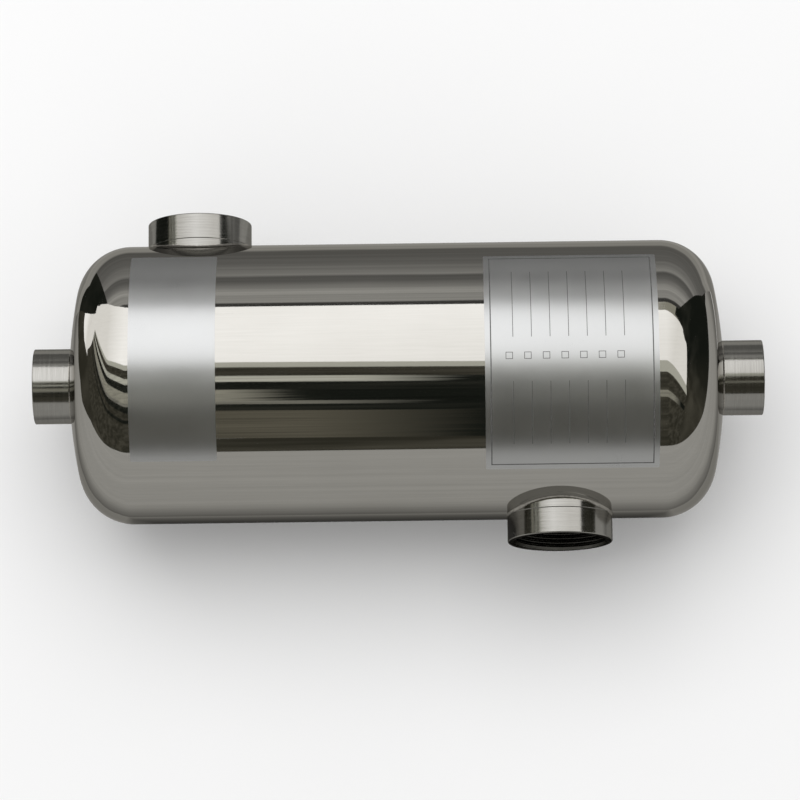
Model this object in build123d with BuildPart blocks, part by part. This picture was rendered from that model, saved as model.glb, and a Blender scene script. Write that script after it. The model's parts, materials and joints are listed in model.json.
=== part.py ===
from build123d import *
from math import asin, degrees, sqrt
import os

# A welded stainless shell and tube heat exchanger, lying with its shell along X.
# The shell's lowest line is at height 0, and the origin is under the middle of the whole length.
# Pool water passes round the tubes, between the two wide sockets that point along +Y and -Y.
# Heating water passes through the tubes, between the two narrow sockets on the ends.
# All lengths are in millimetres.

# Shell and dished heads
shell_diameter = 142.8
shell_length = 270.4
shell_wall = 2.0
crown_radius = 240.0
knuckle_radius = 28.0

# Wide sockets for the pool water
pool_thread_core = 44.845
pool_socket_wall = 4.3275
pool_socket_stand = 13.1
pool_socket_inside = 1.0
left_pool_gap = 2.3
right_pool_gap = 21.0

# Narrow sockets for the heating water
heating_thread_core = 30.291
heating_socket_wall = 4.1545
left_heating_stand = 18.5
right_heating_stand = 20.2
heating_socket_inside = 2.0

# Details that all sockets share
thread_height = 1.479
rim_chamfer = 0.5
socket_clearance = 0.1
pool_weld_leg = 2.0
heating_weld_leg = 1.2

# Tube bundle
tube_diameter = 12.0
tube_wall = 0.7
tube_proud = 0.5
bundle_margin = 9.4
tubes_in_rows = (4, 5, 6, 7, 6, 5, 4)
tube_clearance = 0.1

# Tube sheets and baffles
sheet_thickness = 4.0
sheet_inset = 1.0
sheet_clearance = 0.05
baffle_thickness = 1.5
baffle_clearance = 0.6
baffle_count = 4
baffle_edge_share = 2.5

# Foil labels on the shell's top, with the angles of their two ends in degrees from the top line
label_thickness = 0.2
label_bond = 0.1
left_label_width = 43.5
left_label_inset = 1.7
left_label_angles = (-52.0, 45.0)
right_label_width = 87.0
right_label_inset = 3.6
right_label_angles = (-49.0, 51.0)

# How far a cut runs past what it cuts
overrun = 5.0

# Radii and the heads' outline
shell_radius = shell_diameter / 2
inner_radius = shell_radius - shell_wall
axis_height = shell_radius
knuckle_offset = shell_radius - knuckle_radius
crown_angle = degrees(asin(knuckle_offset / (crown_radius - knuckle_radius)))
head_depth = crown_radius - sqrt((crown_radius - knuckle_radius) ** 2 - knuckle_offset**2)
crown_centre = head_depth - crown_radius

# Places along X, with the whole length centred on the origin
shell_middle = (left_heating_stand - right_heating_stand) / 2
left_tangent = shell_middle - shell_length / 2
right_tangent = shell_middle + shell_length / 2
sheet_reach = sheet_inset + sheet_thickness

# Wide sockets
pool_core_radius = pool_thread_core / 2
pool_radius = pool_core_radius + pool_socket_wall
pool_rim = shell_radius + pool_socket_stand
pool_inner_end = sqrt(inner_radius**2 - pool_radius**2) - pool_socket_inside
left_pool_x = left_tangent + sheet_reach + left_pool_gap + pool_radius
right_pool_x = right_tangent - sheet_reach - right_pool_gap - pool_radius

# Narrow sockets
heating_core_radius = heating_thread_core / 2
heating_radius = heating_core_radius + heating_socket_wall
heating_inner_end = head_depth - shell_wall - heating_socket_inside

# Tube bundle: a hexagon of tubes in upright rows, spaced along Y
tube_radius = tube_diameter / 2
middle_row = len(tubes_in_rows) // 2
tube_pitch = (inner_radius - bundle_margin - tube_radius) / middle_row
row_spacing = tube_pitch * sqrt(3) / 2
tube_reach = shell_length / 2 - sheet_inset + tube_proud

# Planes: one across the shell, one at each tangent line and one on each wide socket's axis
across = Plane(origin=(shell_middle, 0, axis_height), x_dir=(0, 1, 0), z_dir=(1, 0, 0))
left_end = Plane(origin=(left_tangent, 0, axis_height), x_dir=(0, -1, 0), z_dir=(-1, 0, 0))
right_end = Plane(origin=(right_tangent, 0, axis_height), x_dir=(0, 1, 0), z_dir=(1, 0, 0))
left_pool = Plane(origin=(left_pool_x, 0, axis_height), x_dir=(1, 0, 0), z_dir=(0, 1, 0))
right_pool = Plane(origin=(right_pool_x, 0, axis_height), x_dir=(1, 0, 0), z_dir=(0, -1, 0))

ends = (("left", left_end), ("right", right_end))
heating_stands = (left_heating_stand, right_heating_stand)
pools = (("left", left_pool), ("right", right_pool))

os.makedirs("parts", exist_ok=True)


def save(piece, label):
    """Name a finished piece and write it to its own file."""
    piece.part.label = label
    export_step(piece.part, f"parts/{label}.step")


def tube_places(rows):
    """The centres of the tubes in the given rows, as points across the shell."""
    points = []
    for row in rows:
        count = tubes_in_rows[row]
        for place in range(count):
            height = (place - (count - 1) / 2) * tube_pitch
            points.append(((row - middle_row) * row_spacing, height))
    return points


def outline_plane(end):
    """The plane of a head's outline: its X runs outwards from the tangent line along the axis."""
    return Plane(origin=end.origin, x_dir=end.z_dir, z_dir=(0, 0, 1))


# Shell, open at both ends, with a hole for each wide socket
with BuildPart() as shell:
    with BuildSketch(across):
        Circle(shell_radius)
        Circle(inner_radius, mode=Mode.SUBTRACT)
    extrude(amount=shell_length / 2, both=True)
    for pool in (left_pool, right_pool):
        with BuildSketch(pool):
            Circle(pool_radius + socket_clearance)
        extrude(amount=shell_radius + overrun, mode=Mode.SUBTRACT)
save(shell, "shell")

# Dished heads: a crown and a knuckle, butted on the shell's ends and bored for the narrow sockets
for side, end in ends:
    outline = outline_plane(end)
    with BuildPart() as head:
        with BuildSketch(outline):
            with BuildLine():
                CenterArc((crown_centre, 0), crown_radius, 0, crown_angle)
                CenterArc((0, knuckle_offset), knuckle_radius, crown_angle, 90 - crown_angle)
                Line((0, shell_radius), (0, inner_radius))
                CenterArc((0, knuckle_offset), knuckle_radius - shell_wall, 90, crown_angle - 90)
                CenterArc((crown_centre, 0), crown_radius - shell_wall, crown_angle, -crown_angle)
                Line((head_depth - shell_wall, 0), (head_depth, 0))
            make_face()
        revolve(axis=Axis(outline.origin, outline.x_dir))
        with BuildSketch(end):
            Circle(heating_radius + socket_clearance)
        extrude(amount=head_depth + overrun, mode=Mode.SUBTRACT)
    save(head, f"{side}_head")

# Wide sockets, set through the shell, with the thread's core as a plain bore and its lead-in chamfer
for side, pool in pools:
    with BuildPart() as pool_socket:
        with BuildSketch(pool.offset(pool_inner_end)):
            Circle(pool_radius)
            Circle(pool_core_radius, mode=Mode.SUBTRACT)
        extrude(amount=pool_rim - pool_inner_end)
        rim_face = pool_socket.faces().sort_by(Axis(pool.origin, pool.z_dir))[-1]
        rim = rim_face.edges().sort_by(SortBy.RADIUS)
        chamfer(rim[0], thread_height)
        chamfer(rim[-1], rim_chamfer)
    save(pool_socket, f"{side}_pool_socket")

# Narrow sockets, set through the heads, made like the wide ones
for (side, end), stand in zip(ends, heating_stands):
    with BuildPart() as heating_socket:
        with BuildSketch(end.offset(heating_inner_end)):
            Circle(heating_radius)
            Circle(heating_core_radius, mode=Mode.SUBTRACT)
        extrude(amount=head_depth + stand - heating_inner_end)
        rim_face = heating_socket.faces().sort_by(Axis(end.origin, end.z_dir))[-1]
        rim = rim_face.edges().sort_by(SortBy.RADIUS)
        chamfer(rim[0], thread_height)
        chamfer(rim[-1], rim_chamfer)
    save(heating_socket, f"{side}_heating_socket")

# Welds round the wide sockets: the corner between shell and socket is bevelled, then both are cut away
for side, pool in pools:
    beside = Plane(origin=pool.origin, x_dir=across.x_dir, z_dir=across.z_dir)
    weld_half = pool_radius + pool_weld_leg + overrun
    with BuildPart() as pool_weld:
        with BuildSketch(beside):
            Circle(shell_radius)
        extrude(amount=weld_half, both=True)
        with BuildSketch(pool):
            Circle(pool_radius)
        extrude(amount=pool_rim)
        bent_edges = pool_weld.edges().filter_by(GeomType.LINE, reverse=True)
        corner = bent_edges.filter_by(GeomType.CIRCLE, reverse=True)
        chamfer(corner, pool_weld_leg)
        with BuildSketch(beside):
            Circle(shell_radius)
        extrude(amount=weld_half, both=True, mode=Mode.SUBTRACT)
        with BuildSketch(pool):
            Circle(pool_radius)
        extrude(amount=pool_rim, mode=Mode.SUBTRACT)
    save(pool_weld, f"{side}_pool_weld")

# Welds round the narrow sockets: a bevel that follows the crown
weld_inner_angle = degrees(asin(heating_radius / crown_radius))
weld_outer_angle = degrees(asin((heating_radius + heating_weld_leg) / crown_radius))
for side, end in ends:
    outline = outline_plane(end)
    with BuildPart() as heating_weld:
        with BuildSketch(outline):
            with BuildLine():
                seat = CenterArc(
                    (crown_centre, 0), crown_radius, weld_inner_angle, weld_outer_angle - weld_inner_angle
                )
                Polyline(seat @ 1, ((seat @ 0).X + heating_weld_leg, heating_radius), seat @ 0)
            make_face()
        revolve(axis=Axis(outline.origin, outline.x_dir))
    save(heating_weld, f"{side}_heating_weld")

# Tube sheets, drilled for every tube, inside the shell's ends
every_row = range(len(tubes_in_rows))
for side, end in ends:
    with BuildPart() as tube_sheet:
        with BuildSketch(end.offset(-sheet_inset)):
            Circle(inner_radius - sheet_clearance)
            with Locations(*tube_places(every_row)):
                Circle(tube_radius + tube_clearance, mode=Mode.SUBTRACT)
        extrude(amount=-sheet_thickness)
    save(tube_sheet, f"{side}_tube_sheet")

# Baffles between the wide sockets, open at alternate sides
baffle_step = (right_pool_x - left_pool_x) / (baffle_count + 1)
baffle_edge = baffle_edge_share * row_spacing
for number in range(1, baffle_count + 1):
    place = left_pool_x + number * baffle_step
    open_side = -1 if number % 2 else 1
    window_align = (Align.MIN if open_side > 0 else Align.MAX, Align.CENTER)
    with BuildPart() as baffle:
        with BuildSketch(across.offset(place - shell_middle)):
            Circle(inner_radius - baffle_clearance)
            with Locations(*tube_places(every_row)):
                Circle(tube_radius + tube_clearance, mode=Mode.SUBTRACT)
            with Locations((open_side * baffle_edge, 0)):
                Rectangle(shell_radius, shell_diameter, align=window_align, mode=Mode.SUBTRACT)
        extrude(amount=baffle_thickness / 2, both=True)
    save(baffle, f"baffle_{number}")

# Tubes, one piece of parallel tubes for each row
for row in every_row:
    with BuildPart() as tube_row:
        with BuildSketch(across):
            with Locations(*tube_places([row])):
                Circle(tube_radius)
                Circle(tube_radius - tube_wall, mode=Mode.SUBTRACT)
        extrude(amount=tube_reach, both=True)
    save(tube_row, f"tube_row_{row + 1}")

# Foil labels, bent to the shell
labels = (
    ("left", left_tangent + left_label_inset, left_label_width, left_label_angles),
    ("right", right_tangent - right_label_inset - right_label_width, right_label_width, right_label_angles),
)
top_angle = 90
label_inner = shell_radius + label_bond
label_outer = label_inner + label_thickness
for side, start, width, (far_angle, near_angle) in labels:
    start_angle = top_angle + far_angle
    sweep_angle = near_angle - far_angle
    with BuildPart() as label:
        with BuildSketch(across.offset(start - shell_middle)):
            with BuildLine():
                inner = CenterArc((0, 0), label_inner, start_angle, sweep_angle)
                outer = CenterArc((0, 0), label_outer, start_angle, sweep_angle)
                Line(inner @ 0, outer @ 0)
                Line(inner @ 1, outer @ 1)
            make_face()
        extrude(amount=width)
    save(label, f"{side}_label")
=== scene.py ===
import json
from math import asin, cos, pi, radians, sin, sqrt, tan, tanh

import bpy
import numpy as np
from mathutils import Matrix, Vector


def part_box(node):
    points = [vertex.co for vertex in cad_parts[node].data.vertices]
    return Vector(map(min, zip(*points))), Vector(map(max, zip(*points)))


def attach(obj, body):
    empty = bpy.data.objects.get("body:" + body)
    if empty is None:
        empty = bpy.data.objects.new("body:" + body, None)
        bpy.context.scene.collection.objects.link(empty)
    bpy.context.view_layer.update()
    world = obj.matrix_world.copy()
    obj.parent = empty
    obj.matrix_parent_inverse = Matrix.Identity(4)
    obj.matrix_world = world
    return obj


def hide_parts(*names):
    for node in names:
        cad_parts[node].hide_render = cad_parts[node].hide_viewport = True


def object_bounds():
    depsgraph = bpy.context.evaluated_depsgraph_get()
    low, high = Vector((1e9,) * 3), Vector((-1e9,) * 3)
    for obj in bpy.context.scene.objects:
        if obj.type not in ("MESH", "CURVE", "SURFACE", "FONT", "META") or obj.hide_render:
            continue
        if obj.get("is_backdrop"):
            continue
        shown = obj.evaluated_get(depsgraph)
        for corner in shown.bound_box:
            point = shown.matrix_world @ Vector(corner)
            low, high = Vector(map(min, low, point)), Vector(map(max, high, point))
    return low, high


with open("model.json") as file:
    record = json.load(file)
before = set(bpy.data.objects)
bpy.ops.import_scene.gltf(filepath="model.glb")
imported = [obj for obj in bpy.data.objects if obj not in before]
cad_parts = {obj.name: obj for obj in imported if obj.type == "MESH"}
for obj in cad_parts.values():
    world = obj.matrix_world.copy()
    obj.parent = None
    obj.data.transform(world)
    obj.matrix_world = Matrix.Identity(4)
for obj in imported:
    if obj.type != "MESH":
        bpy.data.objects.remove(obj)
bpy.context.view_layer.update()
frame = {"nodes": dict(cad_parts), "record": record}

# A mirror-polished stainless heat exchanger that lies on a pale floor, seen from almost overhead.
# Lengths are metres, in the frame of the solids: the shell runs along X and its lowest line is at height 0.

# Places and sizes from the frame
mounts = {mount["name"]: mount for mount in frame["record"]["mounts"]}
axis_height = mounts["left_pool_thread"]["pos_m"][2]
shell_radius = axis_height
shell_low, shell_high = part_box("shell")
left_tangent = shell_low.x
right_tangent = shell_high.x
shell_middle = (left_tangent + right_tangent) / 2
pool_low, pool_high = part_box("left_pool_socket")
pool_radius = (pool_high.x - pool_low.x) / 2
pool_inner_end = pool_low.y
pool_rim = pool_high.y
heating_low, heating_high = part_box("left_heating_socket")
heating_radius = (heating_high.y - heating_low.y) / 2

# Sizes of the shell and heads
shell_wall = 0.002
crown_radius = 0.240
knuckle_radius = 0.028
knuckle_offset = shell_radius - knuckle_radius
crown_angle = asin(knuckle_offset / (crown_radius - knuckle_radius))
crown_centre = -sqrt((crown_radius - knuckle_radius) ** 2 - knuckle_offset**2)
socket_clearance = 0.0001

# Sizes of the sockets' pipe thread and rims
thread_pitch = 0.002309
thread_height = 0.001479
thread_fade = 0.001
thread_flat_share = 0.125
rim_round = 0.0005
line_below_rim = 0.0131
line_width = 0.00022
line_depth = 0.00012

# Sizes of the welds. The waves of their unevenness are (waves round the socket, shift) pairs.
pool_weld_leg = 0.0012
heating_weld_leg = 0.0007
weld_unevenness_share = 0.12
weld_waves = ((3, 0.4), (7, 1.9), (11, 4.0), (19, 2.2))

# Sizes of the foil labels and their print. Reach is from the shell's top towards +Y and -Y, in degrees.
label_reach = {"left": (52, 45), "right": (49, 51)}
label_angles = {side: (radians(90 - far), radians(90 + near)) for side, (far, near) in label_reach.items()}
label_lift = 0.00010
label_thickness = 0.00016
label_corner = 0.0010
print_lift = 0.00003

# Mesh fineness
steps_round = 240
crown_steps = 18
knuckle_steps = 26
rim_steps = 5
weld_steps = 8
label_corner_steps = 5
label_rows = 90
label_columns = 25
print_step = 0.002
weld_distance = 2e-6
least_length = 1e-30


class Surface:
    """Patches of quads with normals of their own, joined into one mesh."""

    def __init__(self):
        self.points = []
        self.normals = []
        self.faces = []
        self.kinds = []
        self.count = 0

    def patch(self, points, normals, wrap=False, keep=None, kind=0):
        """Add a grid of points. A wrapped grid closes on itself along its columns.

        kind is the place of its material in the piece's list.
        """
        rows, columns = points.shape[:2]
        index = np.arange(rows * columns).reshape(rows, columns)
        left = index if wrap else index[:, :-1]
        right = np.roll(index, -1, axis=1) if wrap else index[:, 1:]
        quads = np.stack([left[:-1], right[:-1], right[1:], left[1:]], axis=-1)
        quads = quads[keep] if keep is not None else quads.reshape(-1, 4)
        flat = points.reshape(-1, 3)
        facing = normals.reshape(-1, 3)
        corners = flat[quads]
        turned = np.cross(corners[:, 2] - corners[:, 0], corners[:, 3] - corners[:, 1])
        if np.sum(turned * facing[quads].mean(axis=1)) < 0:
            quads = quads[:, ::-1]
        self.points.append(flat)
        self.normals.append(facing)
        self.faces.append(quads + self.count)
        self.kinds.append(np.full(len(quads), kind))
        self.count += len(flat)

    def build(self, name, materials, replaced=()):
        """Join the patches where they meet and make the piece."""
        points = np.concatenate(self.points)
        normals = np.concatenate(self.normals)
        keys = np.round(points / weld_distance).astype(np.int64)
        first, merged = np.unique(keys, axis=0, return_index=True, return_inverse=True)[1:]
        merged = merged.ravel()
        polygons = []
        kinds = []
        corner_normals = []
        for face, kind in zip(np.concatenate(self.faces), np.concatenate(self.kinds)):
            corners = {}
            for corner in face:
                corners.setdefault(int(merged[corner]), normals[corner])
            if len(corners) > 2:
                polygons.append(list(corners))
                kinds.append(int(kind))
                corner_normals.extend(corners.values())
        mesh = bpy.data.meshes.new(name)
        mesh.from_pydata(points[first].tolist(), [], polygons)
        mesh.polygons.foreach_set("use_smooth", [True] * len(polygons))
        mesh.polygons.foreach_set("material_index", kinds)
        mesh.normals_split_custom_set(corner_normals)
        for material in materials:
            mesh.materials.append(material)
        piece = bpy.data.objects.new(name, mesh)
        bpy.context.scene.collection.objects.link(piece)
        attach(piece, "root")
        if replaced:
            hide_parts(*replaced)


class Lathe:
    """Places points by their height along an axis, their radius and their angle round it."""

    def __init__(self, origin, axis):
        self.origin = np.array(origin, float)
        self.axis = np.array(axis, float)
        self.side = np.array((0.0, 1.0, 0.0) if abs(axis[0]) else (1.0, 0.0, 0.0))
        self.up = np.cross(self.axis, self.side)

    def direction(self, along, out, angle):
        """Vectors with a part along the axis and a part out from it."""
        radial = np.cos(angle)[..., None] * self.side + np.sin(angle)[..., None] * self.up
        return np.asarray(along)[..., None] * self.axis + np.asarray(out)[..., None] * radial

    def place(self, height, radius, angle):
        return self.origin + self.direction(height, radius, angle)

    def turn(self, surface, outline, kind=0):
        """Add the surface that an outline of (height, radius, along, out) rows sweeps round the axis."""
        height, radius, along, out = (column[:, None] for column in np.array(outline, float).T)
        angle = np.linspace(0, 2 * pi, steps_round, endpoint=False)[None, :]
        spread = np.zeros_like(angle)
        points = self.place(height + spread, radius + spread, angle + 0 * height)
        normals = self.direction(along + spread, out + spread, angle + 0 * height)
        surface.patch(points, normals, wrap=True, kind=kind)


def straight(start, end, inward=False):
    """An outline from one (height, radius) to another. inward turns its normal to the other side."""
    run = np.array(end, float) - np.array(start, float)
    run = run / np.linalg.norm(run)
    along, out = (run[1], -run[0]) if inward else (-run[1], run[0])
    return [(*start, along, out), (*end, along, out)]


def arc(centre, radius, start, end, steps, inward=False):
    """An outline round a centre, with angles from the axis."""
    sign = -1 if inward else 1
    rows = []
    for angle in np.linspace(start, end, steps + 1):
        along = cos(angle)
        out = sin(angle)
        rows.append((centre[0] + radius * along, centre[1] + radius * out, sign * along, sign * out))
    return rows


def grid_normals(points, towards, wrap=False):
    """Normals of a grid from its neighbours, on the side that the given vectors point to."""
    down = np.gradient(points, axis=0)
    if wrap:
        across = np.roll(points, -1, axis=1) - np.roll(points, 1, axis=1)
    else:
        across = np.gradient(points, axis=1)
    normals = np.cross(down, across)
    length = np.linalg.norm(normals, axis=-1, keepdims=True)
    normals = np.where(length > 0, normals / np.maximum(length, least_length), towards)
    return normals if np.sum(normals * towards) > 0 else -normals


# Materials

def new_material(name):
    """A material with only its shader and output, and a function that adds nodes to it."""
    material = bpy.data.materials.new(name)
    material.use_nodes = True
    tree = material.node_tree
    shader = tree.nodes["Principled BSDF"]

    def add(kind, inputs=None, **settings):
        node = tree.nodes.new(kind)
        for key, value in settings.items():
            setattr(node, key, value)
        for key, value in (inputs or {}).items():
            if isinstance(value, bpy.types.NodeSocket):
                tree.links.new(value, node.inputs[key])
            else:
                node.inputs[key].default_value = value
        return node

    return material, shader, add


def link(material, output, target):
    material.node_tree.links.new(output, target)


def ramp(add, factor, stops):
    """A colour ramp with the given (position, colour) stops."""
    node = add("ShaderNodeValToRGB", {"Fac": factor})
    elements = node.color_ramp.elements
    while len(elements) < len(stops):
        elements.new(0.5)
    for element, (position, colour) in zip(elements, stops):
        element.position = position
        element.color = (*colour, 1)
    return node.outputs["Color"]


def grey(value):
    return (value, value, value)


# How the steel varies. Scales are in cells per metre.
noise_range = (0.3, 0.7)
cloud_scale = 28.0
cloud_share = 0.45
smudge_scale = 9.0
smudge_range = (0.52, 0.72)
wave_scale = 22.0
# The edge tint dims the steel at grazing angles, more than plain stainless does: partly the steel's own
# tint, partly painted shade for the shaded floor that the lower edges reflect.
edge_tint = (0.66, 0.65, 0.63)


def noise(add, place, scale, detail=2.0, roughness=0.5):
    """A soft noise from 0 to 1. A scale of three numbers stretches it along X, Y and Z."""
    if isinstance(scale, tuple):
        place = add("ShaderNodeMapping", {"Vector": place, "Scale": scale}).outputs["Vector"]
        scale = 1.0
    inputs = {"Vector": place, "Scale": scale, "Detail": detail, "Roughness": roughness}
    return add("ShaderNodeTexNoise", inputs).outputs["Fac"]


def share_between(add, value, start, end, low=0.0, high=1.0):
    """How far a value is on the way from start to end, spread from low to high."""
    inputs = {"Value": value, "From Min": start, "From Max": end, "To Min": low, "To Max": high}
    return add("ShaderNodeMapRange", inputs).outputs["Result"]


def reckon(add, operation, *values):
    """The result of a sum or another operation on up to three values."""
    return add("ShaderNodeMath", dict(enumerate(values)), operation=operation).outputs["Value"]


def steel(name, colours, roughness, lines, line_bump, wave_bump=0.0, smudge=0.0, edge=edge_tint):
    """Steel whose tone and roughness vary, with fine lines stretched along one way.

    lines is the scale of the line noise along X, Y and Z, in cells per metre.
    """
    material, shader, add = new_material(name)
    place = add("ShaderNodeTexCoord").outputs["Object"]
    fine = noise(add, place, lines, detail=3.0, roughness=0.6)
    cloud = noise(add, place, cloud_scale, detail=4.0, roughness=0.55)
    tone = add("ShaderNodeMix", {"Factor": cloud_share, "A": fine, "B": cloud}).outputs["Result"]
    link(material, ramp(add, tone, list(zip(noise_range, colours))), shader.inputs["Base Color"])
    shader.inputs["Metallic"].default_value = 1.0
    shader.inputs["Specular Tint"].default_value = (*edge, 1)
    rough_mix = add("ShaderNodeMix", {"Factor": 0.5, "A": fine, "B": cloud}).outputs["Result"]
    rough = share_between(add, rough_mix, *noise_range, *roughness)
    if smudge:
        patches = noise(add, place, smudge_scale, detail=6.0, roughness=0.62)
        rough = reckon(add, "ADD", rough, share_between(add, patches, *smudge_range, 0.0, smudge))
    link(material, rough, shader.inputs["Roughness"])
    bump = add("ShaderNodeBump", {"Strength": 1.0, "Distance": line_bump, "Height": fine}).outputs["Normal"]
    if wave_bump:
        waves = noise(add, place, wave_scale, detail=1.0)
        inputs = {"Strength": 1.0, "Distance": wave_bump, "Height": waves, "Normal": bump}
        bump = add("ShaderNodeBump", inputs).outputs["Normal"]
    link(material, bump, shader.inputs["Normal"])
    return material


polished = steel(
    "polished_steel",
    colours=((0.53, 0.52, 0.50), (0.57, 0.56, 0.54)),
    roughness=(0.03, 0.055),
    lines=(30.0, 900.0, 900.0),
    line_bump=2e-7,
    wave_bump=1.2e-5,
    smudge=0.03,
)
socket_colours = ((0.34, 0.335, 0.32), (0.46, 0.455, 0.44))
socket_roughness = (0.08, 0.20)
socket_bump = 1.5e-5
socket_across = steel(
    "socket_steel_across",
    socket_colours,
    socket_roughness,
    lines=(60.0, 1400.0, 60.0),
    line_bump=socket_bump,
)
socket_along = steel(
    "socket_steel_along",
    socket_colours,
    socket_roughness,
    lines=(1400.0, 60.0, 60.0),
    line_bump=socket_bump,
)
# Darker steel for the sockets' threads and rim faces, with a low edge tint: painted shade, for the shade
# inside the sockets' mouths and the shaded floor that the rims reflect.
thread_painted_shade_metal = steel(
    "thread_steel_painted_shade",
    colours=((0.08, 0.079, 0.074), (0.17, 0.167, 0.158)),
    roughness=(0.20, 0.34),
    lines=(400.0, 400.0, 400.0),
    line_bump=5e-6,
    edge=(0.14, 0.138, 0.13),
)
weld_metal = steel(
    "weld_steel",
    colours=((0.26, 0.25, 0.23), (0.62, 0.60, 0.57)),
    roughness=(0.10, 0.26),
    lines=(900.0, 900.0, 900.0),
    line_bump=9e-5,
)
tube_metal = steel(
    "tube_steel",
    colours=((0.42, 0.41, 0.39), (0.52, 0.51, 0.49)),
    roughness=(0.20, 0.32),
    lines=(20.0, 900.0, 900.0),
    line_bump=2e-6,
)
plate_metal = steel(
    "plate_steel",
    colours=((0.36, 0.35, 0.33), (0.46, 0.45, 0.43)),
    roughness=(0.28, 0.42),
    lines=(300.0, 300.0, 300.0),
    line_bump=5e-6,
)

# How the foil and its print vary. Scales are in cells per metre.
foil_grain_scale = 5200.0
foil_cloud_scale = 45.0
foil_colours = ((0.57, 0.58, 0.595), (0.64, 0.65, 0.665))
foil_roughness = (0.27, 0.35)
foil_bump = 2e-6
ink_wear_scale = 900.0
ink_tones = ((0.35, grey(0.05)), (0.75, grey(0.12)))


def foil():
    """Satin silver foil with a fine grain."""
    material, shader, add = new_material("label_foil")
    place = add("ShaderNodeTexCoord").outputs["Object"]
    grain = noise(add, place, foil_grain_scale)
    cloud = noise(add, place, foil_cloud_scale, detail=4.0)
    tone = add("ShaderNodeMix", {"Factor": 0.5, "A": grain, "B": cloud}).outputs["Result"]
    link(material, ramp(add, tone, list(zip(noise_range, foil_colours))), shader.inputs["Base Color"])
    shader.inputs["Metallic"].default_value = 0.97
    link(material, share_between(add, tone, *noise_range, *foil_roughness), shader.inputs["Roughness"])
    bump = add("ShaderNodeBump", {"Strength": 1.0, "Distance": foil_bump, "Height": grain})
    link(material, bump.outputs["Normal"], shader.inputs["Normal"])
    return material


def ink():
    """Dark print on the foil, a little worn."""
    material, shader, add = new_material("label_ink")
    place = add("ShaderNodeTexCoord").outputs["Object"]
    wear = noise(add, place, ink_wear_scale, detail=3.0)
    link(material, ramp(add, wear, ink_tones), shader.inputs["Base Color"])
    shader.inputs["Roughness"].default_value = 0.45
    return material


label_foil = foil()
label_ink = ink()


# Shell

def on_shell(radius, x, angle):
    """Points on a cylinder round the shell's axis. Angle 0 is towards +Y and a quarter turn is up."""
    return np.stack([x, radius * np.cos(angle), axis_height + radius * np.sin(angle)], axis=-1)


def from_shell(x, angle):
    return np.stack([np.zeros_like(x), np.cos(angle), np.sin(angle)], axis=-1)


pool_x = {side: mounts[f"{side}_pool_thread"]["pos_m"][0] for side in ("left", "right")}
pool_angle = {"left": 0.0, "right": pi}
hole_radius = pool_radius + socket_clearance
patch_margin = 0.006
patch_half = hole_radius + patch_margin
patch_steps = 36
patch_rings = 6
patch_cells = 19
left_steps = 3
middle_steps = 50
right_steps = 10


def shell_sheet(surface, radius, sign):
    """One face of the shell's wall: a grid with a ring of quads round each socket's hole."""
    stretches = (
        (left_tangent, pool_x["left"] - patch_half, left_steps),
        (pool_x["left"] - patch_half, pool_x["left"] + patch_half, patch_steps),
        (pool_x["left"] + patch_half, pool_x["right"] - patch_half, middle_steps),
        (pool_x["right"] - patch_half, pool_x["right"] + patch_half, patch_steps),
        (pool_x["right"] + patch_half, right_tangent, right_steps),
    )
    lines = [left_tangent]
    for start, end, steps in stretches:
        lines.extend(np.linspace(start, end, steps + 1)[1:])
    lines = np.array(lines)
    angles = np.linspace(0, 2 * pi, steps_round, endpoint=False)
    x, angle = np.meshgrid(lines, angles, indexing="ij")
    keep = np.ones((len(lines) - 1, steps_round), bool)
    for side, centre in pool_angle.items():
        first = int(np.argmin(abs(lines - (pool_x[side] - patch_half))))
        middle = int(round(centre / (2 * pi) * steps_round))
        columns = np.arange(middle - patch_cells, middle + patch_cells) % steps_round
        keep[first : first + patch_steps, columns] = False
        edge_x = lines[first : first + patch_steps + 1]
        edge_angle = np.arange(-patch_cells, patch_cells + 1) * (2 * pi / steps_round)
        low_side = [(value, edge_angle[0]) for value in edge_x[:-1]]
        right_side = [(edge_x[-1], value) for value in edge_angle[:-1]]
        high_side = [(value, edge_angle[-1]) for value in edge_x[:0:-1]]
        left_side = [(edge_x[0], value) for value in edge_angle[:0:-1]]
        border = np.array(low_side + right_side + high_side + left_side)
        bearing = np.arctan2(border[:, 1] * radius, border[:, 0] - pool_x[side])
        hole_x = pool_x[side] + hole_radius * np.cos(bearing)
        hole_angle = np.arcsin(hole_radius * np.sin(bearing) / radius)
        share = np.linspace(0, 1, patch_rings + 1)[:, None]
        ring_x = hole_x + (border[:, 0] - hole_x) * share
        ring_angle = centre + hole_angle + (border[:, 1] - hole_angle) * share
        ring = on_shell(radius, ring_x, ring_angle)
        surface.patch(ring, sign * from_shell(ring_x, ring_angle), wrap=True)
    surface.patch(on_shell(radius, x, angle), sign * from_shell(x, angle), wrap=True, keep=keep)


def make_shell():
    surface = Surface()
    inner_radius = shell_radius - shell_wall
    shell_sheet(surface, shell_radius, 1)
    shell_sheet(surface, inner_radius, -1)
    lathe = Lathe((0, 0, axis_height), (1, 0, 0))
    lathe.turn(surface, straight((left_tangent, inner_radius), (left_tangent, shell_radius)))
    lathe.turn(surface, straight((right_tangent, shell_radius), (right_tangent, inner_radius)))
    surface.build("shell_skin", [polished], ["shell"])


ends = {
    "left": Lathe((left_tangent, 0, axis_height), (-1, 0, 0)),
    "right": Lathe((right_tangent, 0, axis_height), (1, 0, 0)),
}
pools = {
    "left": Lathe((pool_x["left"], 0, axis_height), (0, 1, 0)),
    "right": Lathe((pool_x["right"], 0, axis_height), (0, -1, 0)),
}


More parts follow.
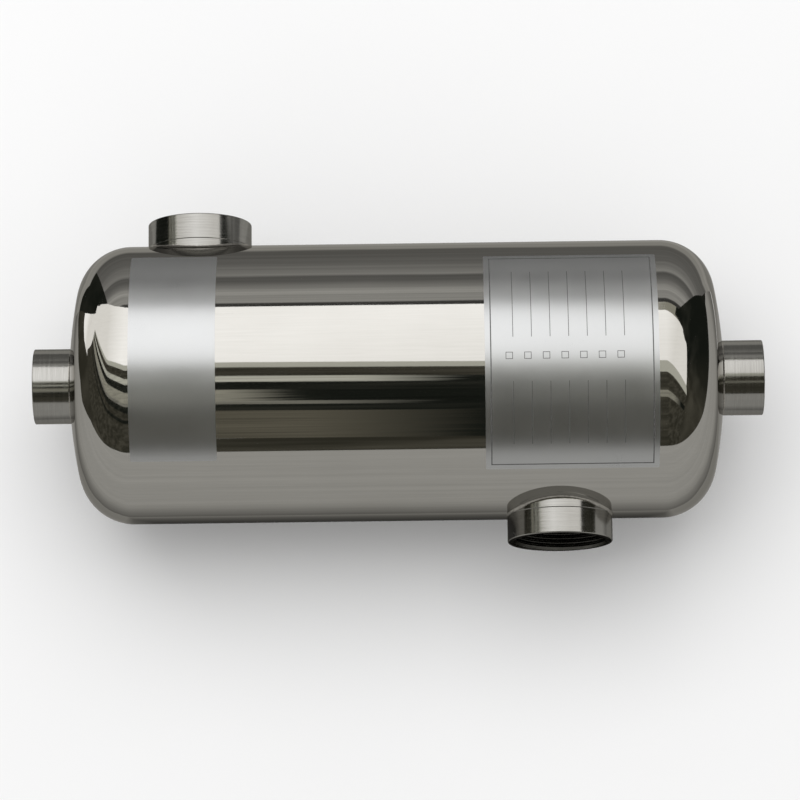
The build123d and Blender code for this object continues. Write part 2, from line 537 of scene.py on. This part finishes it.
def make_head(side):
    surface = Surface()
    lathe = ends[side]
    hole = heating_radius + socket_clearance
    crown = (crown_centre, 0)
    knuckle = (0, knuckle_offset)
    inner_crown = crown_radius - shell_wall
    inner_knuckle = knuckle_radius - shell_wall
    outer_edge = asin(hole / crown_radius)
    inner_edge = asin(hole / inner_crown)
    lathe.turn(surface, arc(crown, crown_radius, outer_edge, crown_angle, crown_steps))
    lathe.turn(surface, arc(knuckle, knuckle_radius, crown_angle, pi / 2, knuckle_steps))
    lathe.turn(surface, arc(crown, inner_crown, inner_edge, crown_angle, crown_steps, inward=True))
    lathe.turn(surface, arc(knuckle, inner_knuckle, crown_angle, pi / 2, knuckle_steps, inward=True))
    outer_height = crown_centre + crown_radius * cos(outer_edge)
    inner_height = crown_centre + inner_crown * cos(inner_edge)
    lathe.turn(surface, straight((inner_height, hole), (outer_height, hole), inward=True))
    lathe.turn(surface, straight((0, shell_radius - shell_wall), (0, shell_radius)))
    surface.build(f"{side}_head_skin", [polished], [f"{side}_head"])


# Sockets

# Places of the thread's rows of points, as shares of one pitch
thread_profile = (0.0, 0.06, 0.18, 0.32, 0.44, 0.5, 0.56, 0.68, 0.82, 0.94)


def add_thread(surface, lathe, core, bottom, rim):
    """A right-hand pipe thread from the socket's inner end to its rim, with a lead-in cone at the mouth."""
    turns = int((rim - bottom) / thread_pitch) + 2
    phase = np.array([turn + share for turn in range(turns) for share in thread_profile] + [float(turns)])
    angle = np.linspace(0, 2 * pi, steps_round // 2 + 1)[None, :]
    height = bottom + thread_pitch * (phase[:, None] - 1 + angle / (2 * pi))
    height = np.clip(height, bottom, rim)
    peak = 1 - abs(2 * (phase % 1.0) - 1)
    ridge = np.clip((1 + 2 * thread_flat_share) * peak - thread_flat_share, 0, 1)[:, None]
    fade = np.clip((height - bottom) / thread_fade, 0, 1)
    cone = thread_height - (rim - height)
    radius = core + np.maximum(thread_height * ridge * fade, cone)
    points = lathe.place(height, radius, angle + 0 * height)
    inward = lathe.direction(0 * height, 0 * height - 1, angle + 0 * height)
    surface.patch(points, grid_normals(points, inward), kind=1)


def make_socket(name, lathe, material, radius, core, bottom, rim, line=None):
    """A turned socket with a threaded mouth, and a fine line round it where its height is given."""
    surface = Surface()
    lathe.turn(surface, straight((bottom, core), (bottom, radius)))
    start = bottom
    if line:
        shallow = radius - line_depth
        lathe.turn(surface, straight((start, radius), (line - line_width, radius)))
        lathe.turn(surface, straight((line - line_width, radius), (line, shallow)))
        lathe.turn(surface, straight((line, shallow), (line + line_width, radius)))
        start = line + line_width
    lathe.turn(surface, straight((start, radius), (rim - rim_round, radius)))
    lathe.turn(surface, arc((rim - rim_round, radius - rim_round), rim_round, pi / 2, 0, rim_steps))
    # The rim's face and the thread take the dark thread steel: painted shade.
    lathe.turn(surface, straight((rim, radius - rim_round), (rim, core + thread_height)), kind=1)
    add_thread(surface, lathe, core, bottom, rim)
    surface.build(f"{name}_turned", [material, thread_painted_shade_metal], [name])


# Welds

def make_weld(name, lathe, radius, leg, floor):
    """A dressed fillet in the corner between a socket and the curved face that it stands on.

    floor gives that face's height for a radius and an angle round the socket.
    """
    surface = Surface()
    angle = np.linspace(0, 2 * pi, steps_round, endpoint=False)[None, :]
    uneven = np.zeros_like(angle)
    for waves, shift in weld_waves:
        uneven = uneven + np.sin(waves * angle + shift) / len(weld_waves)
    size = leg * (1 + weld_unevenness_share * uneven)
    turn = np.linspace(0, pi / 2, weld_steps + 1)[:, None]
    out = radius + size * (1 - np.cos(turn))
    rise = size * (1 - np.sin(turn))
    angles = angle + 0 * turn
    hollow = lathe.place(floor(out, angles) + rise, out, angles)
    corner = lathe.place(floor(radius + 0 * angle, angle), radius + 0 * angle, angle)
    slant = np.full_like(out, sqrt(0.5))
    surface.patch(hollow, grid_normals(hollow, lathe.direction(slant, slant, angles), wrap=True), wrap=True)
    around = np.repeat(angle, 2, axis=0)
    flat = np.zeros_like(around)
    wall = np.concatenate([hollow[:1], corner])
    surface.patch(wall, lathe.direction(flat, flat - 1, around), wrap=True)
    foot = np.concatenate([hollow[-1:], corner])
    surface.patch(foot, lathe.direction(flat - 1, flat, around), wrap=True)
    surface.build(f"{name}_bead", [weld_metal], [name])


def shell_floor(radius, angle):
    """Height of the shell's face over its axis, at a radius and angle round a wide socket."""
    return np.sqrt(shell_radius**2 - (radius * np.sin(angle)) ** 2)


def crown_floor(radius, angle):
    """Height of a head's crown over its tangent line, at a radius round the narrow socket."""
    return crown_centre + np.sqrt(crown_radius**2 - radius**2) + 0 * angle


# Labels

def label_sheet(surface, low, high, start, end, radius, sign, corner):
    """One face of a label: a grid whose ends are rounded at the corners."""
    arc_length = radius * (end - start)
    near = corner * (1 - np.cos(np.linspace(0, pi / 2, label_corner_steps + 1)))
    middle = np.linspace(corner, arc_length - corner, label_rows)[1:-1]
    along = np.concatenate([near, middle, arc_length - near[::-1]])
    edge = np.minimum(along, arc_length - along)
    inset = corner - np.sqrt(np.maximum(corner**2 - np.maximum(corner - edge, 0) ** 2, 0))
    across = np.linspace(0, 1, label_columns)[None, :]
    x = (low + inset)[:, None] * (1 - across) + (high - inset)[:, None] * across
    angle = start + along[:, None] / radius + 0 * across
    points = on_shell(radius, x, angle)
    surface.patch(points, sign * from_shell(x, angle))
    return points


def make_label(side):
    """A foil label bent to the shell, in the place of its solid."""
    name = f"{side}_label"
    low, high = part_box(name)
    surface = Surface()
    start, end = label_angles[side]
    outer = shell_radius + label_lift + label_thickness
    top = label_sheet(surface, low.x, high.x, start, end, outer, 1, label_corner)
    under = label_sheet(surface, low.x, high.x, start, end, shell_radius + label_lift, -1, label_corner)
    for edge_top, edge_under in (
        (top[:, 0], under[:, 0]),
        (top[:, -1], under[:, -1]),
        (top[0], under[0]),
        (top[-1], under[-1]),
    ):
        strip = np.stack([edge_top, edge_under])
        outward = strip - top.mean(axis=(0, 1))
        surface.patch(strip, grid_normals(strip, outward))
    surface.build(f"{side}_foil", [label_foil], [name])


# Print on the wide label: a frame line and a blank form of ruled rows and empty boxes.
# Shares run from the label's left edge and from its top edge.
frame_inset = 0.0027
frame_line = 0.00055
rule_line = 0.00030
form_left_share = 0.16
form_right_share = 0.80
form_rows = 7
form_top_share = 0.12
form_middle_share = 0.56
form_bottom_share = 0.88
gap_above_share = 0.12
gap_below_share = 0.06
box_side = 0.0036


def ink_strip(surface, low_x, high_x, start, end):
    """A thin printed patch on the wide label, between two places along X and two lengths round it."""
    radius = shell_radius + label_lift + label_thickness + print_lift
    steps = max(2, int((end - start) / print_step) + 1)
    angles = label_angles["right"][0] + np.linspace(start, end, steps + 1) / radius
    x, angle = np.meshgrid(np.linspace(low_x, high_x, 2), angles)
    points = on_shell(radius, x, angle)
    surface.patch(points, from_shell(x, angle))


def ink_box(surface, low_x, high_x, start, end, line):
    """Four strips as an outline."""
    ink_strip(surface, low_x, high_x, start, start + line)
    ink_strip(surface, low_x, high_x, end - line, end)
    ink_strip(surface, low_x, low_x + line, start + line, end - line)
    ink_strip(surface, high_x - line, high_x, start + line, end - line)


def make_print():
    low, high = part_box("right_label")
    first, last = label_angles["right"]
    wide = high.x - low.x
    tall = (last - first) * (shell_radius + label_lift + label_thickness)
    surface = Surface()
    ink_box(surface, low.x + frame_inset, high.x - frame_inset, frame_inset, tall - frame_inset, frame_line)
    for row in range(form_rows):
        share = form_left_share + (form_right_share - form_left_share) * row / (form_rows - 1)
        x = low.x + share * wide
        above = (form_middle_share - gap_above_share) * tall
        below = (form_middle_share + gap_below_share) * tall
        ink_strip(surface, x, x + rule_line, form_top_share * tall, above)
        ink_strip(surface, x, x + rule_line, below, form_bottom_share * tall)
        middle = form_middle_share * tall - box_side
        ink_box(surface, x - box_side, x, middle - box_side, middle, rule_line)
    surface.build("label_print", [label_ink])


make_shell()
make_print()
for side in ("left", "right"):
    make_head(side)
    pool_core = mounts[f"{side}_pool_thread"]["dims"]["r_mm"] / 1000
    make_socket(
        f"{side}_pool_socket", pools[side], socket_across, pool_radius, pool_core, pool_inner_end, pool_rim,
        line=pool_rim - line_below_rim,
    )
    make_weld(f"{side}_pool_weld", pools[side], pool_radius, pool_weld_leg, shell_floor)
    heating_core = mounts[f"{side}_heating_thread"]["dims"]["r_mm"] / 1000
    low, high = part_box(f"{side}_heating_socket")
    reach = sorted(abs(value - ends[side].origin[0]) for value in (low.x, high.x))
    make_socket(f"{side}_heating_socket", ends[side], socket_along, heating_radius, heating_core, *reach)
    make_weld(f"{side}_heating_weld", ends[side], heating_radius, heating_weld_leg, crown_floor)
    make_label(side)

for name, node in frame["nodes"].items():
    if name.startswith("tube_row"):
        node.material_slots[0].material = tube_metal
    elif name.startswith("baffle") or name.endswith("tube_sheet"):
        node.material_slots[0].material = plate_metal


# Stage: a pale floor, a lamp, and cards that only mirror reflections show

def stage_mesh(name, points, faces, material):
    mesh = bpy.data.meshes.new(name)
    mesh.from_pydata(points, [], faces)
    mesh.materials.append(material)
    piece = bpy.data.objects.new(name, mesh)
    bpy.context.scene.collection.objects.link(piece)
    piece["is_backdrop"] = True
    return piece


floor_half = 6.0
floor_scale = 3.0
floor_colours = (grey(0.88), grey(0.90))


def floor_material():
    material, shader, add = new_material("pale_floor")
    place = add("ShaderNodeTexCoord").outputs["Object"]
    cloud = noise(add, place, floor_scale, detail=3.0)
    link(material, ramp(add, cloud, list(zip(noise_range, floor_colours))), shader.inputs["Base Color"])
    shader.inputs["Roughness"].default_value = 0.9
    shader.inputs["Specular IOR Level"].default_value = 0.1
    return material


def new_glow(name):
    """A material that only shines, the socket of its colour, and a function that adds nodes to it."""
    material, shader, add = new_material(name)
    emission = add("ShaderNodeEmission")
    output = material.node_tree.nodes["Material Output"]
    link(material, emission.outputs["Emission"], output.inputs["Surface"])
    material.node_tree.nodes.remove(shader)
    material.cycles.emission_sampling = "NONE"
    return material, emission.inputs["Color"], add


def glow(name, colour):
    """A card of one even brightness."""
    material, socket, add = new_glow(name)
    socket.default_value = (*colour, 1)
    return material


def crease_light_and_shade(add, place, scale, depth):
    """A brightness near 1 that varies by a noise of the given scale along X, Y and Z: painted light and
    shade of creases in cloth and of streaks in strips.
    """
    return share_between(add, noise(add, place, scale, detail=4.0), *noise_range, 1 - depth, 1 + depth)


def shaded(add, tone, shade):
    """A colour times a brightness."""
    return add("ShaderNodeVectorMath", {0: tone, "Scale": shade}, operation="SCALE").outputs["Vector"]


cloth_colour = (1.0, 0.985, 0.93)


def cloth_tint(value):
    return tuple(value * part for part in cloth_colour)


def cloth(name, top, tones, crease_depth):
    """Grey cloth in soft folds: tones from the floor up, as (share of the top height, brightness)."""
    material, socket, add = new_glow(name)
    place = add("ShaderNodeTexCoord").outputs["Object"]
    height = add("ShaderNodeSeparateXYZ", {"Vector": place}).outputs["Z"]
    swayed = reckon(add, "MULTIPLY_ADD", noise(add, place, fold_scale), fold_sway, height)
    share = share_between(add, swayed, fold_sway / 2, fold_sway / 2 + top)
    tone = ramp(add, share, [(position, cloth_tint(value)) for position, value in tones])
    link(material, shaded(add, tone, crease_light_and_shade(add, place, crease_scale, crease_depth)), socket)
    return material


def panel(name, middle_tone, end_tone):
    """A bright panel that dims a little towards both ends, and more towards +X and -Y."""
    material, socket, add = new_glow(name)
    place = add("ShaderNodeSeparateXYZ", {"Vector": add("ShaderNodeTexCoord").outputs["Object"]}).outputs
    slope = reckon(add, "MULTIPLY_ADD", place["Y"], panel_slope, place["X"])
    share = share_between(add, slope, *panel_fade)
    tones = (end_tone, middle_tone, middle_tone, end_tone)
    link(material, ramp(add, share, list(zip(panel_places, tones))), socket)
    return material


def murk(name, tones, far_tones=None):
    """A dark sheet with soft uneven patches, which may turn to other tones towards +Y."""
    material, socket, add = new_glow(name)
    place = add("ShaderNodeTexCoord").outputs["Object"]
    patches = noise(add, place, murk_scale, detail=4.0)
    colour = ramp(add, patches, list(zip(murk_range, tones)))
    if far_tones:
        across = add("ShaderNodeSeparateXYZ", {"Vector": place}).outputs["Y"]
        turn = share_between(add, across, *murk_turn)
        far_colour = ramp(add, patches, list(zip(murk_range, far_tones)))
        # Inputs 6 and 7 and output 2 of a mix node are its colours
        inputs = {"Factor": turn, 6: colour, 7: far_colour}
        colour = add("ShaderNodeMix", inputs, data_type="RGBA").outputs[2]
    link(material, colour, socket)
    return material


def painted_shadow_sheet(name, tones):
    """A painted shadow on a sheet over the floor: darkest at the shell's near side, and lighter outward,
    endward and on the far side.
    """
    material, socket, add = new_glow(name)
    place = add("ShaderNodeSeparateXYZ", {"Vector": add("ShaderNodeTexCoord").outputs["Object"]}).outputs
    outward = share_between(add, place["Y"], shadow_dark_y, shadow_light_y)
    endward = share_between(add, reckon(add, "ABSOLUTE", place["X"]), shadow_dark_x, shadow_light_x)
    farward = share_between(add, place["Y"], shadow_dark_y, -shadow_dark_y)
    share = reckon(add, "MAXIMUM", reckon(add, "MAXIMUM", outward, endward), farward)
    link(material, ramp(add, share, [(position, cloth_tint(value)) for position, value in tones]), socket)
    return material


def fading(name, colour, start, end):
    """A strip of light that breaks up in streaks between two places along X and shows again further on."""
    material, socket, add = new_glow(name)
    place = add("ShaderNodeTexCoord").outputs["Object"]
    streak = noise(add, place, streak_scale, detail=3.0)
    along = add("ShaderNodeSeparateXYZ", {"Vector": place}).outputs["X"]
    shifted = reckon(add, "MULTIPLY_ADD", streak, streak_reach, along)
    places = (start, end, *right_stripe)
    share = share_between(add, shifted, start + streak_reach / 2, places[-1] + streak_reach / 2)
    dimmed = tuple(right_stripe_share * value for value in colour)
    tones = (colour, black_tone, black_tone, dimmed, dimmed, black_tone)
    tone = ramp(add, share, [((x - start) / (places[-1] - start), tone) for x, tone in zip(places, tones)])
    link(material, shaded(add, tone, crease_light_and_shade(add, place, streak_scale, streak_depth)), socket)
    return material


def card(name, lines, materials):
    """A sheet across lines of points, with a material for each row. Only mirror reflections show it."""
    count = len(lines[0])
    faces = []
    for row in range(len(lines) - 1):
        for column in range(count - 1):
            corner = row * count + column
            faces.append((corner, corner + 1, corner + 1 + count, corner + count))
    piece = stage_mesh(name, [point for line in lines for point in line], faces, materials[0])
    for material in materials[1:]:
        piece.data.materials.append(material)
    for index, polygon in enumerate(piece.data.polygons):
        polygon.material_index = index // (count - 1)
    piece.visible_camera = False
    piece.visible_diffuse = False
    piece.visible_transmission = False
    piece.visible_volume_scatter = False
    piece.visible_shadow = False


floor_corners = [(x * floor_half, y * floor_half, 0) for x, y in ((-1, -1), (1, -1), (1, 1), (-1, 1))]
stage_mesh("floor", floor_corners, [(0, 1, 2, 3)], floor_material())

# Tones of the cards. Scales are in cells per metre.
fold_scale = 9.0
fold_sway = 0.010
crease_scale = (3.0, 3.0, 160.0)
streak_scale = (1.5, 34.0, 34.0)
streak_reach = 0.12
streak_depth = 0.30
murk_scale = (5.0, 16.0, 9.0)
murk_range = (0.40, 0.66)
murk_turn = (-0.09, 0.03)
right_stripe = (0.10, 0.13, 0.60, 1.10)
right_stripe_share = 0.85
black_tone = (0.012, 0.014, 0.011)
pale_tone = (0.60, 0.60, 0.52)
olive_tone = (0.36, 0.35, 0.29)
panel_slope = -0.35
panel_fade = (-1.5, 0.5)
panel_places = (0.0, 0.52, 0.58, 1.0)
bright = panel("bright_card", middle_tone=(1.53, 1.52, 1.49), end_tone=(1.16, 1.14, 1.09))
pale = glow("pale_card", pale_tone)
olive = glow("olive_card", olive_tone)
brown_tones = ((0.040, 0.038, 0.028), (0.085, 0.080, 0.062))
black_tones = (black_tone, (0.030, 0.031, 0.025))
brown = murk("brown_card", brown_tones)
black = murk("black_card", black_tones)
right_dark = murk("right_dark_card", brown_tones, black_tones)
first_stripe = fading("first_stripe_card", pale_tone, start=-0.04, end=0.04)
second_stripe = fading("second_stripe_card", olive_tone, start=-0.15, end=-0.10)
second_edge = fading("second_edge_card", (0.24, 0.235, 0.20), start=-0.08, end=0.02)
third_stripe = fading("third_stripe_card", (0.135, 0.125, 0.095), start=-0.08, end=0.06)
# The near cloth's tones darken towards its foot: painted shade, for the object's contact shadow on the
# floor, which the steel's lower edges reflect.
near_cloth_and_painted_shade = cloth(
    "near_cloth_and_painted_shade",
    top=0.17,
    tones=((0.0, 0.18), (0.13, 0.28), (0.27, 0.43), (1.0, 0.45)),
    crease_depth=0.06,
)
far_cloth = cloth(
    "far_cloth",
    top=0.285,
    tones=(
        (0.0, 0.50),
        (0.15, 0.43),
        (0.18, 0.155),
        (0.32, 0.175),
        (0.46, 0.30),
        (0.485, 0.13),
        (0.56, 0.18),
        (0.70, 0.47),
        (0.74, 0.35),
        (0.88, 0.40),
        (0.91, 0.06),
    ),
    crease_depth=0.14,
)

# Cards overhead, as long bands. Angles are off the zenith, in degrees, positive towards +Y.
# A band runs almost along X between two places, turned a little. It turns more beyond two soft bends and
# lies a little lower left of a soft step. Some bands start or end at breaks along X.
sky_distance = 1.5
sky_turn = tan(radians(-10))
left_turn = tan(radians(-34))
right_turn = tan(radians(-27))
left_bend = -1.35
right_bend = 0.45
left_bend_length = 0.15
right_bend_length = 0.3
sky_left = -6.0
sky_right = 2.6
sky_steps = 180
left_break = -0.2
right_break = 0.19
left_drop = 0.06
drop_length = 0.015
side_high = 46.0
side_low = 88.0
side_break = 0.2
sky_bands = (
    ("bright_panel", 4.3, side_high, sky_left, sky_right, bright),
    ("bright_side", side_high, side_low, sky_left, side_break, bright),
    ("olive_side", side_high, side_low, side_break, sky_right, olive),
    ("panel_edge", 0.2, 4.3, sky_left, sky_right, pale),
    ("dark_1", -6.6, 0.2, sky_left, right_break, brown),
    ("stripe_1", -11.3, -6.6, sky_left, right_break, first_stripe),
    ("dark_2", -17.6, -11.3, sky_left, right_break, black),
    ("stripe_2", -26.4, -17.6, sky_left, right_break, second_stripe),
    ("stripe_2_edge", -29.0, -26.4, sky_left, right_break, second_edge),
    ("dark_3", -34.2, -29.0, sky_left, right_break, black),
    ("left_brown", -40.0, -34.2, sky_left, left_break, brown),
    ("left_line", -43.0, -40.0, sky_left, left_break, black),
    ("left_low_brown", -57.0, -43.0, sky_left, left_break, brown),
    ("stripe_3", -57.0, -34.2, left_break, right_break, third_stripe),
    ("right_edge", -4.8, 0.2, right_break, sky_right, pale),
    ("right_brown", -19.4, -4.8, right_break, sky_right, brown),
    ("right_stripe", -25.0, -19.4, right_break, sky_right, second_stripe),
    ("right_low_brown", -57.0, -25.0, right_break, sky_right, brown),
    ("dark_4", -90.0, -57.0, sky_left, sky_right, brown),
)


def band_shift(x):
    """How far the bands have moved along Y at a place along X.

    They follow a line that turns more beyond two soft bends, and lie a little lower left of a soft step.
    """
    left = x - left_bend
    right = x - right_bend
    beyond_left = (left - sqrt(left**2 + left_bend_length**2)) / 2
    beyond_right = (right + sqrt(right**2 + right_bend_length**2)) / 2
    line = sky_turn * x + (left_turn - sky_turn) * beyond_left + (right_turn - sky_turn) * beyond_right
    return line - left_drop * (1 - tanh((x - left_break) / drop_length)) / 2


def sky_edge(angle, left, right):
    """One edge of a band, from its right end to its left end."""
    height = axis_height + sky_distance * cos(angle)
    start = sky_distance * sin(angle)
    return [(x, start + band_shift(x), height) for x in np.linspace(right, left, sky_steps)]


for name, start, end, left, right, material in sky_bands:
    card(name, [sky_edge(radians(start), left, right), sky_edge(radians(end), left, right)], [material])

# Screens of cloth that lean outward round the object, clear of it, some with a dark sheet above the cloth.
# A screen has its cloth, its dark sheet, how wavy that sheet's edge is, and rows: the foot in plan, the
# height of the cloth and the height of the dark sheet.
far_y = 0.11
near_y = -0.11
left_x = -0.222
right_x = 0.235
behind = 0.01
spine_half = 0.11
screen_lean = 0.40
screen_steps = 12
screens = (
    ("far_screen", far_cloth, None, 0.0, (
        (-0.195, far_y, 0.192, 0), (-0.170, far_y, 0.236, 0), (-0.150, far_y, 0.258, 0),
        (-0.125, far_y, 0.281, 0), (0.19, far_y, 0.285, 0), (0.219, far_y, 0.180, 0),
        (right_x, far_y, 0.122, 0), (right_x, 0.093, 0.080, 0),
    )),
    ("right_far_screen", near_cloth_and_painted_shade, right_dark, 0.006, (
        (0.183, far_y + behind, 0, 0.38), (0.215, far_y + behind, 0, 0.415), (0.240, 0.108, 0.035, 0.425),
        (right_x + behind, 0.084, 0.072, 0.41), (right_x + behind, 0.048, 0.090, 0.38),
        (right_x, 0, 0.107, 0.39),
    )),
    ("right_near_screen", near_cloth_and_painted_shade, right_dark, 0.006, (
        (right_x, 0, 0.107, 0.39), (right_x, -0.048, 0.120, 0.37), (right_x, -0.062, 0.127, 0.34),
        (0.207, -0.094, 0.152, 0.27), (0.165, near_y, 0.168, 0.170),
    )),
    ("near_screen", near_cloth_and_painted_shade, None, 0.0, (
        (0.165, near_y, 0.168, 0), (0.135, near_y, 0.174, 0), (-0.135, near_y, 0.174, 0),
        (-0.165, near_y, 0.172, 0),
    )),
    ("left_screen", near_cloth_and_painted_shade, brown, 0.001, (
        (-0.165, near_y, 0.172, 0.173), (-0.198, -0.094, 0.155, 0.162), (left_x, -0.062, 0.135, 0.150),
        (left_x, -0.046, 0.126, 0.148), (left_x, -0.016, 0.093, 0.145), (left_x, 0.002, 0.088, 0.143),
        (left_x, 0.020, 0.073, 0.136), (left_x, 0.037, 0.064, 0.107), (left_x, 0.057, 0.041, 0.088),
        (left_x, 0.067, 0.036, 0.083),
    )),
    ("left_far_screen", far_cloth, black, 0.005, (
        (left_x, 0.067, 0.036, 0.083), (left_x, 0.073, 0.034, 0.121), (left_x, 0.084, 0.032, 0.150),
        (left_x, 0.098, 0.036, 0.142), (left_x, far_y, 0.045, 0.155), (-0.195, far_y, 0.048, 0.192),
    )),
)


# Waves of the dark sheets' edges: size, rate along the screen and shift
screen_waves = ((1.0, 9, 0.7), (0.7, 17, 2.1), (0.5, 31, 4.4))


def wave(share):
    """The rise of a dark sheet's edge, from -1 to 1, at a share of the screen's length."""
    whole = sum(size for size, rate, shift in screen_waves)
    return sum(size * np.sin(rate * share + shift) for size, rate, shift in screen_waves) / whole


for name, lower, upper, waviness, rows in screens:
    rows = np.array(rows)
    share = np.linspace(0, 1, screen_steps * (len(rows) - 1) + 1)
    step = share * (len(rows) - 1)
    x, y, cloth_top, dark_top = (np.interp(step, range(len(rows)), column) for column in rows.T)
    heights = [0 * x, cloth_top]
    if upper:
        heights.append(np.maximum(dark_top + waviness * wave(share), cloth_top))
    away_x = x - np.clip(x, -spine_half, spine_half)
    away = np.stack([away_x, y], axis=-1) / np.hypot(away_x, y)[:, None]
    lines = []
    for height in heights:
        line = np.stack([x, y, height], axis=-1)
        line[:, :2] += screen_lean * height[:, None] * away
        lines.append(line.tolist())
    card(name, lines, [lower, upper] if upper else [lower])

# A sheet just over the floor round the object, out to the screens' feet, whose tones are a painted shadow
# of the object that only the steel's reflections show
shadow_tones = ((0.0, 0.03), (0.5, 0.08), (0.77, 0.17), (1.0, 0.34))
shadow_dark_y = -0.050
shadow_light_y = -0.113
shadow_dark_x = 0.11
shadow_light_x = 0.15
shadow_sheet_height = 0.0015
shadow_inner_edge = ((0.11, 0.06), (0.12, 0.06), (0.15, 0.03), (0.15, -0.03), (0.14, -0.04), (0.12, -0.05))
shadow_feet = (
    (far_y, -0.11, 0.11),
    (far_y, left_x, right_x),
    (0.03, left_x, right_x),
    (-0.062, left_x, right_x),
    (-0.094, -0.198, 0.207),
    (near_y, -0.165, 0.165),
)
shadow_inner = [(-x, y, shadow_sheet_height) for x, y in shadow_inner_edge] + [(x, y, shadow_sheet_height) for x, y in shadow_inner_edge[::-1]]
shadow_outer = [(left, y, shadow_sheet_height) for y, left, right in shadow_feet]
shadow_outer += [(right, y, shadow_sheet_height) for y, left, right in shadow_feet[::-1]]
shadow_outer.append(shadow_outer[0])
shadow_inner.append(shadow_inner[0])
card("painted_floor_shadow", [shadow_outer, shadow_inner], [painted_shadow_sheet("painted_shadow_card", shadow_tones)])

# A dark wall beyond the right end, which rises towards +Y
right_wall_x = 1.0
right_wall_top = ((-0.5, 0.50), (0.0, 0.75), (0.18, 0.80), (0.45, 1.08), (0.75, 1.20), (1.0, 1.26))
right_wall_foot = [(right_wall_x, y, 0.0) for y, height in right_wall_top]
right_wall_edge = [(right_wall_x, y, height) for y, height in right_wall_top]
card("right_wall", [right_wall_foot, right_wall_edge], [right_dark])

# A bright wall far beyond the left end
wall_x = -5.95
wall_y = (0.4, 7.0)
wall_height = 1.6
card("bright_wall", [[(wall_x, y, height) for y in wall_y] for height in (0.0, wall_height)], [bright])

# A bright sheet on the floor, between two bearings from the left head
sheet_bearings = (140, 166)
sheet_reach = (0.22, 5.8)
sheet_height = 0.002
sheet_lines = []
for bearing in sheet_bearings:
    ahead = Vector((cos(radians(bearing)), sin(radians(bearing)), 0))
    sheet_lines.append([Vector((left_tangent, 0, sheet_height)) + reach * ahead for reach in sheet_reach])
card("bright_sheet", sheet_lines, [bright])

# Lamp and world
world_strength = 0.66
world = bpy.data.worlds.new("studio")
bpy.context.scene.world = world
world.use_nodes = True
world.node_tree.nodes["Background"].inputs["Color"].default_value = (1.0, 1.0, 1.0, 1)
world.node_tree.nodes["Background"].inputs["Strength"].default_value = world_strength


def area_lamp(name, place, aim, size, watts):
    lamp = bpy.data.lights.new(name, "AREA")
    lamp.shape = "RECTANGLE"
    lamp.size, lamp.size_y = size
    lamp.energy = watts
    piece = bpy.data.objects.new(name, lamp)
    piece.location = place
    piece.rotation_euler = (Vector(aim) - Vector(place)).to_track_quat("-Z", "Y").to_euler()
    piece.visible_camera = False
    piece.visible_glossy = False
    bpy.context.scene.collection.objects.link(piece)


area_lamp("key", place=(-0.3, 1.0, 3.0), aim=(0, 0, 0.05), size=(3.4, 2.8), watts=60.0)

# Camera: the photograph's view, with the shell's centre at its place in the picture
photo_width = 800
sensor_width = 36.0
camera_azimuth = radians(1.95)
camera_elevation = radians(77.16)
camera_roll = radians(2.65)
camera_distance = 2.166
camera_reach = 50.0
pixels_per_metre = 1943.0
shell_centre_pixel = (396.75, 382.3)

centre = Vector((shell_middle, 0, axis_height))
back = Vector((
    sin(camera_azimuth) * cos(camera_elevation),
    -cos(camera_azimuth) * cos(camera_elevation),
    sin(camera_elevation),
))
level = Vector((cos(camera_azimuth), sin(camera_azimuth), 0))
upright = back.cross(level)
right = cos(camera_roll) * level - sin(camera_roll) * upright
up = sin(camera_roll) * level + cos(camera_roll) * upright
position = centre + camera_distance * back
half_width = photo_width / 2
aim = centre
aim = aim + right * (half_width - shell_centre_pixel[0]) / pixels_per_metre
aim = aim - up * (half_width - shell_centre_pixel[1]) / pixels_per_metre
back = (position - aim).normalized()
right = (right - right.dot(back) * back).normalized()
up = back.cross(right)
camera_data = bpy.data.cameras.new("camera")
camera_data.sensor_width = sensor_width
camera_data.lens = pixels_per_metre * camera_distance / photo_width * sensor_width
camera_data.clip_end = camera_reach
camera = bpy.data.objects.new("camera", camera_data)
camera.matrix_world = Matrix.Translation(position) @ Matrix((right, up, back)).transposed().to_4x4()
bpy.context.scene.collection.objects.link(camera)
bpy.context.scene.camera = camera
bpy.context.scene.view_settings.view_transform = "Standard"

low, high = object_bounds()
